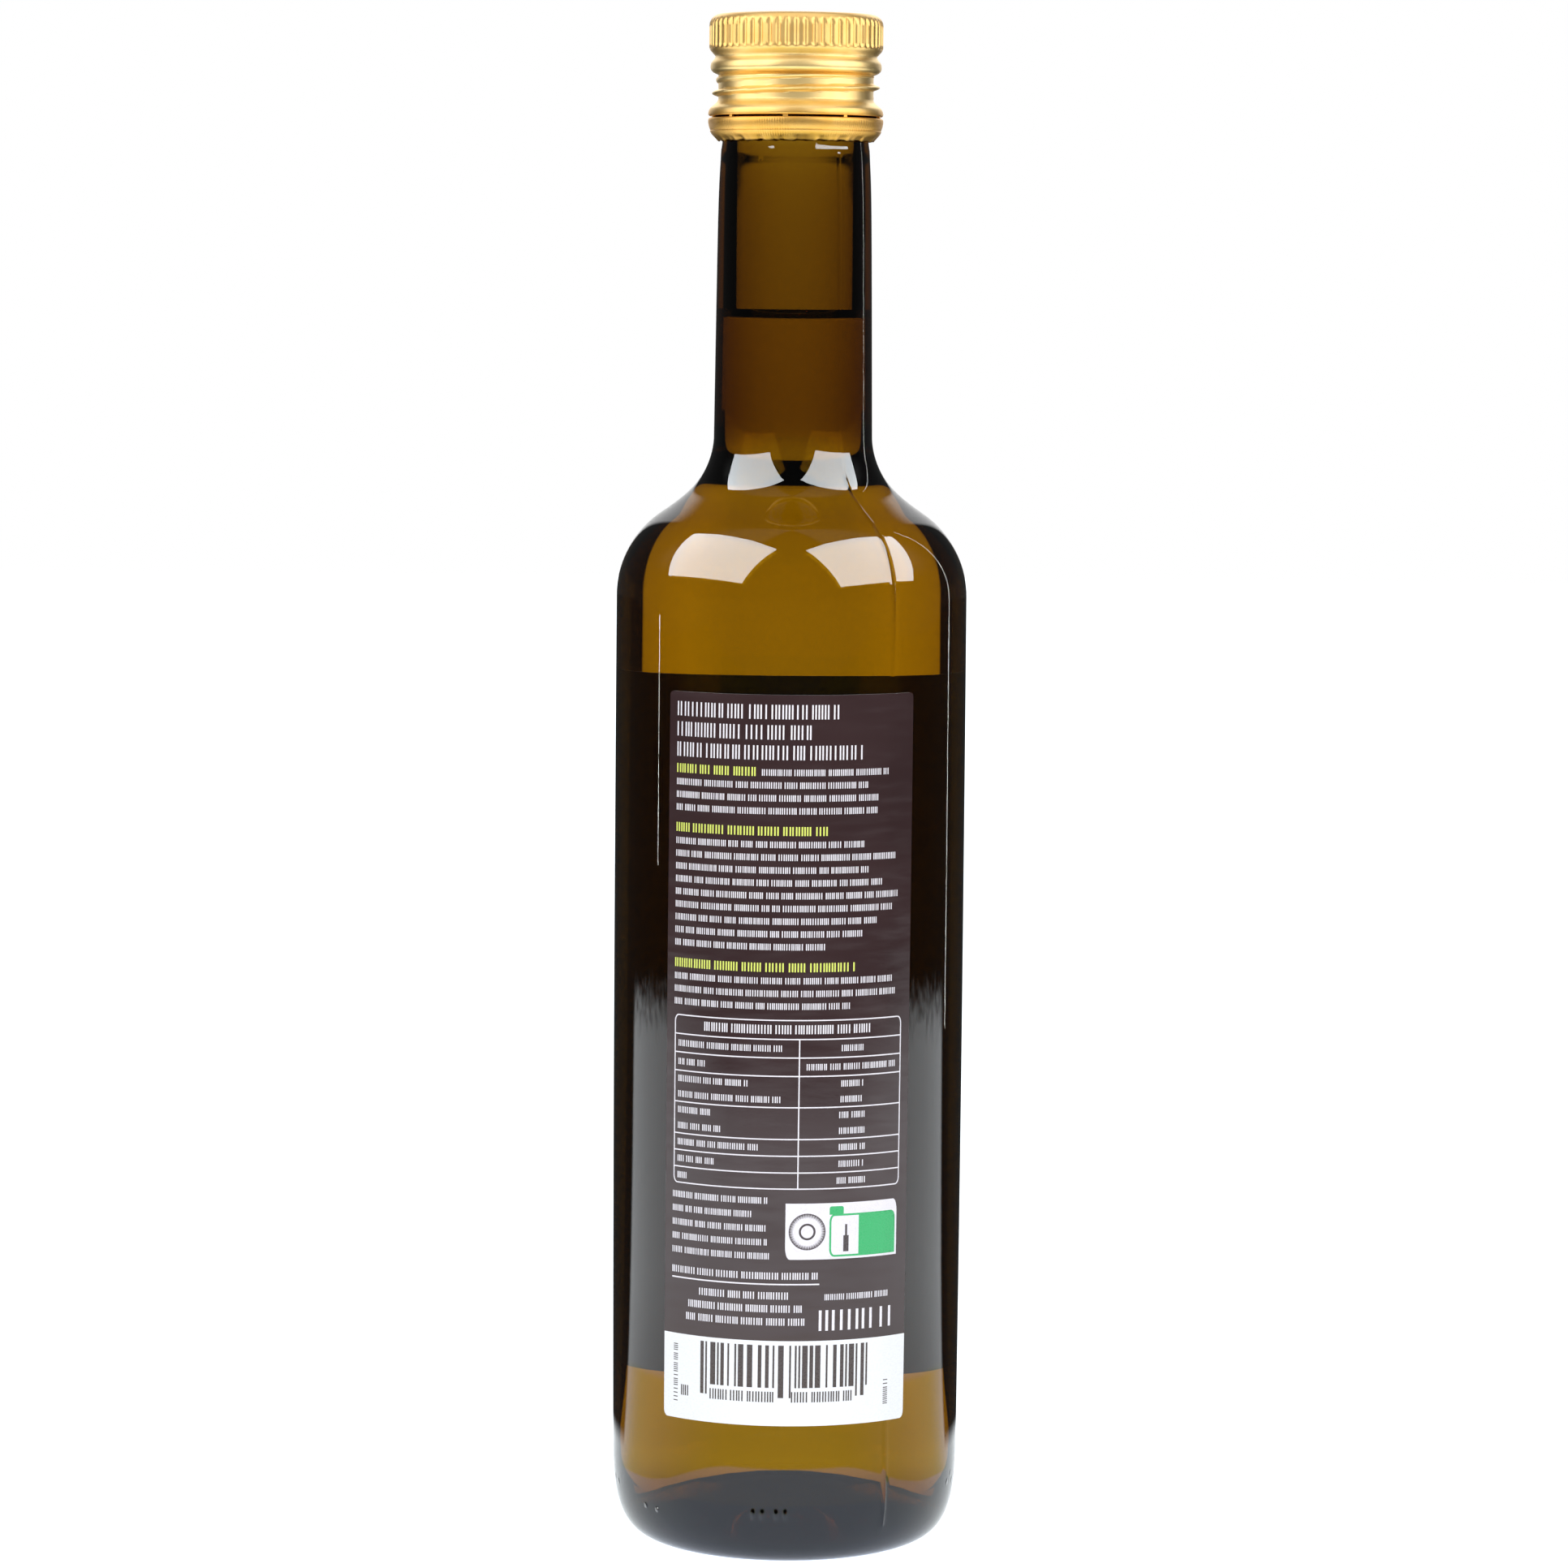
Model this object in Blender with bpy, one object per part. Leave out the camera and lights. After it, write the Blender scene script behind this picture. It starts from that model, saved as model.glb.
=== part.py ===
# A half-litre bottle of olive oil: a round glass bottle, its oil, a rolled-on aluminium
# screw cap, a tall paper label on the back and a wider one on the front.
# Metres, +Z up. The origin is the centre of the ring that the bottle stands on.
# The back label faces -Y and the front label faces +Y.

from math import atan2, cos, hypot, pi, radians, sin, tau

import bmesh
import bpy

# Bottle, outside
BELLY_RADIUS = 0.03182
BELLY_HEIGHT = 0.105
HEEL_RADIUS = 0.03158
HEEL_HEIGHT = 0.0186
HEEL_ROUNDNESS = 3.0
RING_RADIUS = 0.0223
RING_WIDTH = 0.0020
SHOULDER_RADIUS = 0.03173
SHOULDER_START = 0.1725
SHOULDER_BEND = 0.01816
SHOULDER_SLOPE = radians(56.6)
FLANK_BEND = 0.040
FLANK_SLOPE = radians(48.8)
NECK_FOOT_RADIUS = 0.01430
NECK_LEAN = radians(3.5)
NECK_RADIUS = 0.01386
NECK_HEIGHT = 0.240
NECK_TOP_RADIUS = 0.01346
NECK_TOP_HEIGHT = 0.2514
COLLAR_RADIUS = 0.01305

# Bottle, under the cap
LOCK_RING_RADIUS = 0.01485
LOCK_RING_BOTTOM = 0.2570
LOCK_RING_TOP = 0.2583
LOCK_RING_SLOPE = 0.0021
FINISH_RADIUS = 0.0131
FINISH_BOTTOM = 0.2604
FINISH_TOP = 0.2662
LIP_RADIUS = 0.01375
LIP_BOTTOM = 0.2682
LIP_ROUND = 0.0009
MOUTH_HEIGHT = 0.2761

# Bottle, inside
WALL = 0.0022
FLOOR_HEIGHT = 0.0042
FLOOR_CORNER = 0.0075
PUNT_HEIGHT = 0.0093
PUNT_GLASS = 0.0040
NECK_BORE_RADIUS = 0.0105
MOUTH_BORE_RADIUS = 0.0093
BORE_TAPER_BOTTOM = 0.2560
BORE_TAPER_TOP = 0.2620

# Oil
OIL_LEVEL = 0.2224
OIL_CLEARANCE = 0.0004

# Cap, outside. A run is a list of (radius, height) points, from the curled edge upwards
CAP_TOP = 0.2769
CAP_CORNER = 0.0020
SKIRT_RADIUS = 0.01562
KNURL_BOTTOM = 0.2708
KNURL_TOP = CAP_TOP - CAP_CORNER
KNURL_MARGIN = 0.00028
KNURL_DEPTH = 0.00030
CURL_RUN = ((0.0140, 0.2543), (0.01435, 0.2548), (0.01515, 0.2555), (0.0155, 0.2565))
LOWER_BAND_RUN = ((0.01575, 0.2574), (0.01575, 0.2580))
UPPER_BAND_RUN = ((0.01575, 0.2590), (0.01535, 0.2602), (0.01375, 0.2615))
BEAD_RUN = ((0.0152, 0.2667), (0.01534, 0.2674), (0.0152, 0.2681))
GROOVE_RUN = ((0.0145, 0.2692), (0.0149, 0.2699))
THREAD_ROOT = 0.0140
THREAD_CREST = 0.0151
THREAD_BOTTOM = 0.2615
THREAD_TOP = 0.2662
THREAD_PITCH = 0.0024
THREAD_START = 0.2640
THREAD_ROWS = 10
SLIT_RADIUS = 0.0156
SLIT_HEIGHT = 0.2585
SLIT_GAP = 0.00024

# Cap, bridges across the slit
BRIDGE_COUNT = 9
FIRST_BRIDGE = radians(-138.6)
BRIDGE_PITCH = radians(41.8)

# Cap, inside, from the middle of the top down to the slit and from the slit to the curled edge
CEILING_HEIGHT = 0.27645
CEILING_RADIUS = 0.01362
SKIRT_INNER_RADIUS = 0.0151
THREAD_INNER_RADIUS = 0.01345
THREAD_INNER_BOTTOM = 0.2612
GROOVE_INNER_POINT = (0.01405, 0.2692)
BAND_INNER_RADIUS = 0.0152
BAND_INNER_TOP = 0.2595
BAND_INNER_BOTTOM = 0.2570
CURL_INNER_POINT = (0.0138, 0.2545)

# Labels
LABEL_GAP = 0.0003
LABEL_THICKNESS = 0.0003
LABEL_BOTTOM = 0.0263
LABEL_TOP = 0.1570
LABEL_CORNER = 0.0010
BACK_LABEL_HALF_TURN = radians(42.1)
FRONT_LABEL_HALF_TURN = radians(70.0)

# Facets
BOTTLE_SIDES = 40
CAP_SIDES = 60
LABEL_STEP = radians(5.0)
MERGE_DISTANCE = 1e-6
CREASE_ANGLE = radians(40)


def clear_scene():
    for old in list(bpy.data.objects):
        bpy.data.objects.remove(old, do_unlink=True)


def make_material(name, colour, roughness, metallic=0.0, transmission=0.0):
    material = bpy.data.materials.new(name)
    material.use_nodes = True
    shader = material.node_tree.nodes["Principled BSDF"]
    shader.inputs["Base Color"].default_value = (*colour, 1.0)
    shader.inputs["Roughness"].default_value = roughness
    shader.inputs["Metallic"].default_value = metallic
    shader.inputs["Transmission Weight"].default_value = transmission
    return material


def make_object(name, shape, material):
    bmesh.ops.recalc_face_normals(shape, faces=shape.faces)
    mesh = bpy.data.meshes.new(name)
    shape.to_mesh(mesh)
    shape.free()
    mesh.shade_smooth()
    mesh.set_sharp_from_angle(angle=CREASE_ANGLE)
    mesh.materials.append(material)
    piece = bpy.data.objects.new(name, mesh)
    bpy.context.collection.objects.link(piece)
    return piece


# Outlines are lists of (radius, height) points.

def arc(centre_radius, centre_height, bend, start, stop, steps):
    points = []
    for step in range(steps + 1):
        angle = start + (stop - start) * step / steps
        points.append((centre_radius + bend * cos(angle), centre_height + bend * sin(angle)))
    return points


def heel(steps):
    # A superellipse from the standing ring up to the body
    reach = HEEL_RADIUS - RING_RADIUS
    power = 2 / HEEL_ROUNDNESS
    points = []
    for step in range(steps + 1):
        angle = pi / 2 * (1 - step / steps)
        radius = RING_RADIUS + reach * cos(angle) ** power
        points.append((radius, HEEL_HEIGHT * (1 - sin(angle) ** power)))
    return points


def shoulder(inset, neck_radius, lean, steps):
    # An outward bend, a nearly straight flank, and an inward bend that turns into the neck
    centre_radius = SHOULDER_RADIUS - SHOULDER_BEND
    points = arc(centre_radius, SHOULDER_START, SHOULDER_BEND - inset, 0.0, SHOULDER_SLOPE, steps)
    slope_radius, slope_height = points[-1]
    flank_bend = FLANK_BEND + inset
    points += arc(slope_radius + flank_bend * cos(SHOULDER_SLOPE),
                  slope_height + flank_bend * sin(SHOULDER_SLOPE),
                  flank_bend, pi + SHOULDER_SLOPE, pi + FLANK_SLOPE, 1)[1:]
    flank_radius, flank_height = points[-1]
    neck_bend = (flank_radius - neck_radius) / (1 - cos(FLANK_SLOPE))
    points += arc(flank_radius + neck_bend * cos(FLANK_SLOPE),
                  flank_height + neck_bend * sin(FLANK_SLOPE),
                  neck_bend, pi + FLANK_SLOPE, pi + lean, steps)[1:]
    return points


def bottle_outside():
    # From the middle of the underside up to the rim of the mouth
    ring_inner = RING_RADIUS - RING_WIDTH
    points = []
    for share in (0.0, 0.45, 0.8, 1.0):
        points.append((ring_inner * share, PUNT_HEIGHT * (1 - share ** 2)))
    points += heel(9)
    points.append((BELLY_RADIUS, BELLY_HEIGHT))
    points += shoulder(0.0, NECK_FOOT_RADIUS, NECK_LEAN, 7)
    points += [
        (NECK_RADIUS, NECK_HEIGHT),
        (NECK_TOP_RADIUS, NECK_TOP_HEIGHT),
        (COLLAR_RADIUS, LOCK_RING_BOTTOM - LOCK_RING_SLOPE),
        (LOCK_RING_RADIUS, LOCK_RING_BOTTOM),
        (LOCK_RING_RADIUS, LOCK_RING_TOP),
        (FINISH_RADIUS, FINISH_BOTTOM),
        (FINISH_RADIUS, FINISH_TOP),
        (LIP_RADIUS, LIP_BOTTOM),
    ]
    points += arc(LIP_RADIUS - LIP_ROUND, MOUTH_HEIGHT - LIP_ROUND, LIP_ROUND, 0.0, pi / 2, 3)
    return points


def inner_wall(clearance):
    # From the middle of the floor up to the foot of the neck, inside the wall by a clearance
    wall_radius = HEEL_RADIUS - WALL - clearance
    corner = FLOOR_CORNER - clearance
    middle = PUNT_HEIGHT + PUNT_GLASS + clearance
    points = [(0.0, middle)]
    points += arc(wall_radius - corner, FLOOR_HEIGHT + FLOOR_CORNER, corner, -pi / 2, 0.0, 5)
    points.append((BELLY_RADIUS - WALL - clearance, BELLY_HEIGHT))
    points += shoulder(WALL + clearance, NECK_BORE_RADIUS - clearance, 0.0, 6)
    return points


def bottle_outline():
    bore = [
        (NECK_BORE_RADIUS, BORE_TAPER_BOTTOM),
        (MOUTH_BORE_RADIUS, BORE_TAPER_TOP),
        (MOUTH_BORE_RADIUS, MOUTH_HEIGHT - LIP_ROUND),
        (MOUTH_BORE_RADIUS + LIP_ROUND, MOUTH_HEIGHT),
    ]
    inside = inner_wall(0.0) + bore
    return bottle_outside() + inside[::-1]


def oil_outline():
    return inner_wall(OIL_CLEARANCE) + [(NECK_BORE_RADIUS - OIL_CLEARANCE, OIL_LEVEL), (0.0, OIL_LEVEL)]


def cap_outline():
    # Down the inside from the middle of the top, then up the outside from the curled edge
    slit_bottom = SLIT_HEIGHT - SLIT_GAP / 2
    slit_top = SLIT_HEIGHT + SLIT_GAP / 2
    inside = [
        (0.0, CEILING_HEIGHT),
        (CEILING_RADIUS, CEILING_HEIGHT),
        (SKIRT_INNER_RADIUS, KNURL_TOP),
        (SKIRT_INNER_RADIUS, KNURL_BOTTOM),
        GROOVE_INNER_POINT,
        (THREAD_INNER_RADIUS, THREAD_TOP),
        (THREAD_INNER_RADIUS, THREAD_INNER_BOTTOM),
        (BAND_INNER_RADIUS, BAND_INNER_TOP),
        (BAND_INNER_RADIUS, slit_top),
        (BAND_INNER_RADIUS, slit_bottom),
        (BAND_INNER_RADIUS, BAND_INNER_BOTTOM),
        CURL_INNER_POINT,
    ]
    slit = [(SLIT_RADIUS, slit_bottom), (SLIT_RADIUS, slit_top)]
    band = [*CURL_RUN, *LOWER_BAND_RUN, *slit, *UPPER_BAND_RUN]
    thread = []
    for row in range(1, THREAD_ROWS + 1):
        height = THREAD_BOTTOM + (THREAD_TOP - THREAD_BOTTOM) * row / THREAD_ROWS
        thread.append((THREAD_ROOT, height))
    skirt = [*BEAD_RUN, *GROOVE_RUN, (SKIRT_RADIUS, KNURL_BOTTOM)]
    corner = arc(SKIRT_RADIUS - CAP_CORNER, KNURL_TOP, CAP_CORNER, 0.0, pi / 2, 4)
    return inside + band + thread + skirt + corner + [(0.0, CAP_TOP)]


def turn(outline, sides):
    shape = bmesh.new()
    corners = [shape.verts.new((radius, 0.0, height)) for radius, height in outline]
    pairs = list(zip(corners, corners[1:]))
    if outline[0][0] > 0:
        pairs.append((corners[-1], corners[0]))
    edges = [shape.edges.new(pair) for pair in pairs]
    bmesh.ops.spin(shape, geom=corners + edges, cent=(0, 0, 0), axis=(0, 0, 1),
                   angle=tau, steps=sides, use_merge=True)
    bmesh.ops.remove_doubles(shape, verts=shape.verts, dist=MERGE_DISTANCE)
    return shape


def thread_ridge(angle, height):
    # 1 along the crest of a right-handed helix, 0 between its turns
    turns = (height - THREAD_START) / THREAD_PITCH - angle / tau
    return max(0.0, cos(tau * turns))


def roll_thread(shape):
    for corner in shape.verts:
        radius = hypot(corner.co.x, corner.co.y)
        in_thread = THREAD_BOTTOM < corner.co.z < THREAD_TOP + MERGE_DISTANCE
        if in_thread and radius > THREAD_ROOT - MERGE_DISTANCE:
            ridge = thread_ridge(atan2(corner.co.y, corner.co.x), corner.co.z)
            grown = THREAD_ROOT + (THREAD_CREST - THREAD_ROOT) * ridge
            corner.co.x *= grown / radius
            corner.co.y *= grown / radius


def press_knurls(shape):
    middle = (KNURL_BOTTOM + KNURL_TOP) / 2
    skirt = []
    for face in shape.faces:
        centre = face.calc_center_median()
        outside = hypot(centre.x, centre.y) > (SKIRT_RADIUS + SKIRT_INNER_RADIUS) / 2
        if outside and abs(centre.z - middle) < MERGE_DISTANCE:
            skirt.append(face)
    bmesh.ops.inset_individual(shape, faces=skirt, thickness=KNURL_MARGIN, depth=-KNURL_DEPTH)


def bridge_columns():
    column = tau / CAP_SIDES
    bridges = [FIRST_BRIDGE + BRIDGE_PITCH * number for number in range(BRIDGE_COUNT)]
    return {int(angle % tau // column) for angle in bridges}


def cut_slit(shape):
    # Opens the wall between the bridges, a run of columns at a time
    column = tau / CAP_SIDES
    bridges = bridge_columns()
    runs = {}
    for face in shape.faces:
        centre = face.calc_center_median()
        if abs(centre.z - SLIT_HEIGHT) > MERGE_DISTANCE:
            continue
        place = int(atan2(centre.y, centre.x) % tau // column)
        if place in bridges:
            continue
        last_bridge = max((bridge for bridge in bridges if bridge < place), default=max(bridges))
        runs.setdefault(last_bridge, []).append(face)
    for faces in runs.values():
        rims = set()
        for face in faces:
            rims ^= set(face.edges)
        bmesh.ops.delete(shape, geom=faces, context="FACES")
        bmesh.ops.bridge_loops(shape, edges=list(rims))


def label(name, middle, half_turn, material):
    steps = 2 * round(half_turn / LABEL_STEP)
    inner = BELLY_RADIUS + LABEL_GAP
    outer = inner + LABEL_THICKNESS
    section = [(inner, LABEL_BOTTOM), (outer, LABEL_BOTTOM), (outer, LABEL_TOP), (inner, LABEL_TOP)]
    shape = bmesh.new()
    rows = []
    for step in range(steps + 1):
        angle = middle + half_turn * (2 * step / steps - 1)
        rows.append([shape.verts.new((radius * cos(angle), radius * sin(angle), height))
                     for radius, height in section])
    for row, following in zip(rows, rows[1:]):
        for side in range(4):
            beside = (side + 1) % 4
            shape.faces.new((row[side], following[side], following[beside], row[beside]))
    shape.faces.new(rows[0])
    shape.faces.new(rows[-1])
    corners = []
    for row in (rows[0], rows[-1]):
        corners.append(shape.edges.get((row[0], row[1])))
        corners.append(shape.edges.get((row[2], row[3])))
    bmesh.ops.bevel(shape, geom=corners, offset=LABEL_CORNER, segments=3, profile=0.5,
                    affect="EDGES")
    return make_object(name, shape, material)


def build():
    clear_scene()
    glass = make_material("brown green glass", (0.30, 0.20, 0.01), 0.02, transmission=0.9)
    oil = make_material("olive oil", (0.62, 0.36, 0.01), 0.05, transmission=0.8)
    gold = make_material("gold aluminium", (0.87, 0.58, 0.16), 0.28, metallic=1.0)
    paper = make_material("dark label paper", (0.035, 0.019, 0.023), 0.45)

    make_object("glass_bottle", turn(bottle_outline(), BOTTLE_SIDES), glass)
    make_object("olive_oil", turn(oil_outline(), BOTTLE_SIDES), oil)

    cap = turn(cap_outline(), CAP_SIDES)
    roll_thread(cap)
    cut_slit(cap)
    press_knurls(cap)
    make_object("screw_cap", cap, gold)

    label("back_label", -pi / 2, BACK_LABEL_HALF_TURN, paper)
    label("front_label", pi / 2, FRONT_LABEL_HALF_TURN, paper)


build()
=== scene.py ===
import math
import random

import bmesh
import bpy
from mathutils import Matrix, Vector


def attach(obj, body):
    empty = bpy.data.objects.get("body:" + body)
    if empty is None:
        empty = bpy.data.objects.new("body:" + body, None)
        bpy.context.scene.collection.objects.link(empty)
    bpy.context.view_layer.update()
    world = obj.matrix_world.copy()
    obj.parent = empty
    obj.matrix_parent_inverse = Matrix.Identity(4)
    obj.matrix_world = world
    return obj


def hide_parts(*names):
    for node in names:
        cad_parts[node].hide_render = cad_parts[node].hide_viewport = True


# A half-litre bottle of olive oil with a rolled-on gold cap and two paper labels.
# Sizes in the dictionaries are millimetres and degrees, and the meshes are in metres.
# An azimuth is measured round the bottle from -Y, where the back label is, towards +X.

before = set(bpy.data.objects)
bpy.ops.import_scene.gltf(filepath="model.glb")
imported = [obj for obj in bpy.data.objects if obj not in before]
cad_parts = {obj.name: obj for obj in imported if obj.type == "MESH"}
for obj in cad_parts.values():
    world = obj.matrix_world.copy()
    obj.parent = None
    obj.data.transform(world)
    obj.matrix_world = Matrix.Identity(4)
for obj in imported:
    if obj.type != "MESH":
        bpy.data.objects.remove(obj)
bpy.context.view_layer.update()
mm = 0.001
print("frame loaded:", ", ".join(sorted(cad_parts)))


# Working by hand in edit mode

def clearSelection():
    if bpy.context.mode != "OBJECT":
        bpy.ops.object.mode_set(mode="OBJECT")
    bpy.ops.object.select_all(action="DESELECT")


def editOnly(piece):
    clearSelection()
    piece.select_set(True)
    bpy.context.view_layer.objects.active = piece
    bpy.ops.object.mode_set(mode="EDIT")


def pick(piece, kind, test):
    # selects the vertices, edges or faces whose corners pass the test, and nothing else
    bpy.ops.mesh.select_mode(type=kind)
    bpy.ops.mesh.select_all(action="DESELECT")
    shape = bmesh.from_edit_mesh(piece.data)
    if kind == "VERT":
        for corner in shape.verts:
            corner.select_set(test([corner.co]))
    elif kind == "EDGE":
        for edge in shape.edges:
            edge.select_set(test([corner.co for corner in edge.verts]))
    else:
        for face in shape.faces:
            face.select_set(test([corner.co for corner in face.verts]))
    shape.select_flush_mode()
    bmesh.update_edit_mesh(piece.data)


def move(piece, place):
    # gives every vertex the place that a function works out from where it is
    for corner in piece.data.vertices:
        corner.co = place(corner.co.copy())
    piece.data.update()


def around(place):
    # radius, azimuth in degrees and height in millimetres
    return (math.hypot(place.x, place.y) / mm, math.degrees(math.atan2(place.x, -place.y)), place.z / mm)


def onCircle(radius, azimuth, height):
    angle = math.radians(azimuth)
    return Vector((radius * math.sin(angle), -radius * math.cos(angle), height)) * mm


def easeStep(start, stop, value):
    share = min(1.0, max(0.0, (value - start) / (stop - start)))
    return share * share * (3 - 2 * share)


def turned(outline, steps, startAzimuth):
    # one vertex is drawn out along the outline, and the line is spun round the bottle's axis
    clearSelection()
    bpy.ops.mesh.primitive_plane_add(size=mm)
    piece = bpy.context.object
    bpy.ops.object.mode_set(mode="EDIT")
    bpy.ops.mesh.select_mode(type="VERT")
    bpy.ops.mesh.merge(type="CENTER")
    place = Vector((0, 0, 0))
    for number, (radius, height) in enumerate(outline):
        following = onCircle(radius, startAzimuth, height)
        if number == 0:
            bpy.ops.transform.translate(value=following - place)
        else:
            bpy.ops.mesh.extrude_region_move(TRANSFORM_OT_translate={"value": following - place})
        place = following
    bpy.ops.mesh.select_all(action="SELECT")
    bpy.ops.mesh.spin(steps=steps, angle=math.tau, center=(0, 0, 0), axis=(0, 0, 1))
    bpy.ops.mesh.select_all(action="SELECT")
    bpy.ops.mesh.remove_doubles(threshold=0.002 * mm)
    bpy.ops.mesh.normals_make_consistent(inside=False)
    bpy.ops.object.mode_set(mode="OBJECT")
    return piece


def arc(centreRadius, centreHeight, bend, start, stop, steps):
    points = []
    for step in range(steps + 1):
        angle = math.radians(start + (stop - start) * step / steps)
        points.append((centreRadius + bend * math.cos(angle), centreHeight + bend * math.sin(angle)))
    return points


def smoothRun(knots, steps):
    # a soft curve through a few points of an outline
    points = []
    ends = [knots[0]] + knots + [knots[-1]]
    for before, start, stop, after in zip(ends, ends[1:], ends[2:], ends[3:]):
        for step in range(steps):
            t = step / steps
            weights = (-t + 2 * t**2 - t**3, 2 - 5 * t**2 + 3 * t**3, t + 4 * t**2 - 3 * t**3, t**3 - t**2)
            points.append(tuple(sum(weight * knot[axis] for weight, knot in
                                    zip(weights, (before, start, stop, after))) / 2 for axis in (0, 1)))
    return points + [knots[-1]]


def handOver(piece, name, node, materials, sharpAngle):
    clearSelection()
    piece.name = name
    piece.data.name = name
    for material in materials:
        piece.data.materials.append(material)
    piece.select_set(True)
    bpy.context.view_layer.objects.active = piece
    bpy.ops.object.shade_smooth_by_angle(angle=math.radians(sharpAngle))
    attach(piece, "root")
    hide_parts(node)
    print("made", name, len(piece.data.polygons), "faces")


# Shader maths written as sums

class Wire:
    # a socket of a material, which can be added, multiplied and compared like a number
    def __init__(self, board, plug):
        self.board = board
        self.plug = plug

    def math(self, operation, *others, clamp=False):
        terms = dict(enumerate((self,) + others))
        return self.board.node("Math", {"operation": operation, "use_clamp": clamp}, terms)

    def flipped(self, operation, other):
        return self.board.node("Math", {"operation": operation}, {0: other, 1: self})

    def __add__(self, other):
        return self.math("ADD", other)

    def __sub__(self, other):
        return self.math("SUBTRACT", other)

    def __mul__(self, other):
        return self.math("MULTIPLY", other)

    def __truediv__(self, other):
        return self.math("DIVIDE", other)

    def __gt__(self, other):
        return self.math("GREATER_THAN", other)

    def __lt__(self, other):
        return self.math("LESS_THAN", other)

    def __radd__(self, other):
        return self.flipped("ADD", other)

    def __rsub__(self, other):
        return self.flipped("SUBTRACT", other)

    def __rmul__(self, other):
        return self.flipped("MULTIPLY", other)

    def ramp(self, start, stop):
        # 0 below start, 1 above stop, eased between them
        return self.board.node("MapRange", {"interpolation_type": "SMOOTHSTEP"},
                               {"Value": self, "From Min": start, "From Max": stop})


class Board:
    # the node board of one material or of the world
    def __init__(self, owner):
        owner.use_nodes = True
        self.tree = owner.node_tree
        self.tree.nodes.clear()

    def node(self, kind, settings=None, values=None, result=0):
        made = self.tree.nodes.new("ShaderNode" + kind)
        for name, setting in (settings or {}).items():
            if name == "stops":
                while len(made.color_ramp.elements) < len(setting):
                    made.color_ramp.elements.new(1.0)
                for stop, (place, colour) in zip(made.color_ramp.elements, setting):
                    stop.position = place
                    stop.color = (*colour, 1.0)
            else:
                setattr(made, name, setting)
        for name, value in (values or {}).items():
            plug = made.inputs[name]
            if isinstance(value, Wire):
                self.tree.links.new(value.plug, plug)
            elif isinstance(value, tuple) and len(value) == 3 and plug.type == "RGBA":
                plug.default_value = (*value, 1.0)
            else:
                plug.default_value = value
        return Wire(self, made.outputs[result]) if made.outputs else None

    def place(self):
        return self.node("TexCoord", result="Object")

    def axes(self, vector):
        return [self.node("SeparateXYZ", values={"Vector": vector}, result=axis) for axis in (0, 1, 2)]

    def noise(self, vector, scale, detail=2.0, roughness=0.5):
        return self.node("TexNoise", values={"Vector": vector, "Scale": scale, "Detail": detail,
                                             "Roughness": roughness})

    def stretched(self, vector, scale):
        return self.node("VectorMath", {"operation": "MULTIPLY"}, {0: vector, 1: scale})

    def blend(self, share, first, second):
        # a Mix node has several sockets called A, so they are given by number
        return self.node("Mix", {"data_type": "RGBA"}, {0: share, 6: first, 7: second}, 2)

    def bump(self, height, strength, distance):
        return self.node("Bump", values={"Height": height, "Strength": strength, "Distance": distance})

    def finish(self, surface, volume=None):
        links = {"Surface": surface}
        if volume:
            links["Volume"] = volume
        self.node("OutputMaterial", values=links)


def newMaterial(name):
    material = bpy.data.materials.new(name)
    return material, Board(material)


def linear(red, green, blue):
    # the shader's colour for one read off a screen
    return tuple((value / 255 / 12.92) if value < 10.3 else ((value / 255 + 0.055) / 1.055) ** 2.4
                 for value in (red, green, blue))


def absorbing(board, perMetre):
    # a clear volume that takes away so much red, green and blue in each metre
    density = max(perMetre) / 0.97
    colour = tuple(1 - share / density for share in perMetre)
    return board.node("VolumeAbsorption", values={"Color": colour, "Density": density})


# Bottle glass and oil

bottleShape = {
    "bellyRadius": 31.82, "bellyHeight": 105.0,
    "heelRadius": 31.58, "heelHeight": 18.6, "heelRoundness": 3.0,
    "ringRadius": 22.3, "ringWidth": 2.0, "puntHeight": 9.3, "puntGlass": 4.0,
    "shoulderRadius": 31.73, "shoulderStart": 172.5, "shoulderBend": 18.16, "shoulderSlope": 56.6,
    "flankBend": 40.0, "flankSlope": 48.8, "neckFootRadius": 14.30, "neckLean": 3.5,
    "neckRadius": 13.86, "neckHeight": 240.0,
    "neckTopRadius": 13.46, "neckTopHeight": 251.2, "partingHeight": 252.75, "partingRise": 0.03,
    "collarRadius": 13.05, "collarHeight": 254.6,
    "lockRingRadius": 14.85, "lockRingBottom": 257.0, "lockRingTop": 258.3,
    "finishRadius": 13.1, "finishBottom": 260.4, "finishTop": 266.2,
    "lipRadius": 13.75, "lipBottom": 268.2, "lipRound": 0.9, "mouthHeight": 276.1,
    "wall": 2.2, "floorHeight": 4.2, "floorCorner": 7.5,
    "neckBoreRadius": 10.5, "mouthBoreRadius": 9.3, "boreTaperBottom": 256.0, "boreTaperTop": 262.0,
    "spinSteps": 192, "seamAzimuth": 35.0, "seamWidth": 0.46, "seamRise": 0.30,
}

oilShape = {"level": 222.4, "edgeHeight": 224.3, "meniscusReach": 0.95, "reachIntoGlass": 0.25}


def bodyRadius(height):
    # the glass swells a little towards the middle of the body
    b = bottleShape
    if height < b["bellyHeight"]:
        share = (b["bellyHeight"] - height) / (b["bellyHeight"] - b["heelHeight"])
        return b["bellyRadius"] - (b["bellyRadius"] - b["heelRadius"]) * share ** 2
    share = (height - b["bellyHeight"]) / (b["shoulderStart"] - b["bellyHeight"])
    return b["bellyRadius"] - (b["bellyRadius"] - b["shoulderRadius"]) * share ** 2


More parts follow.
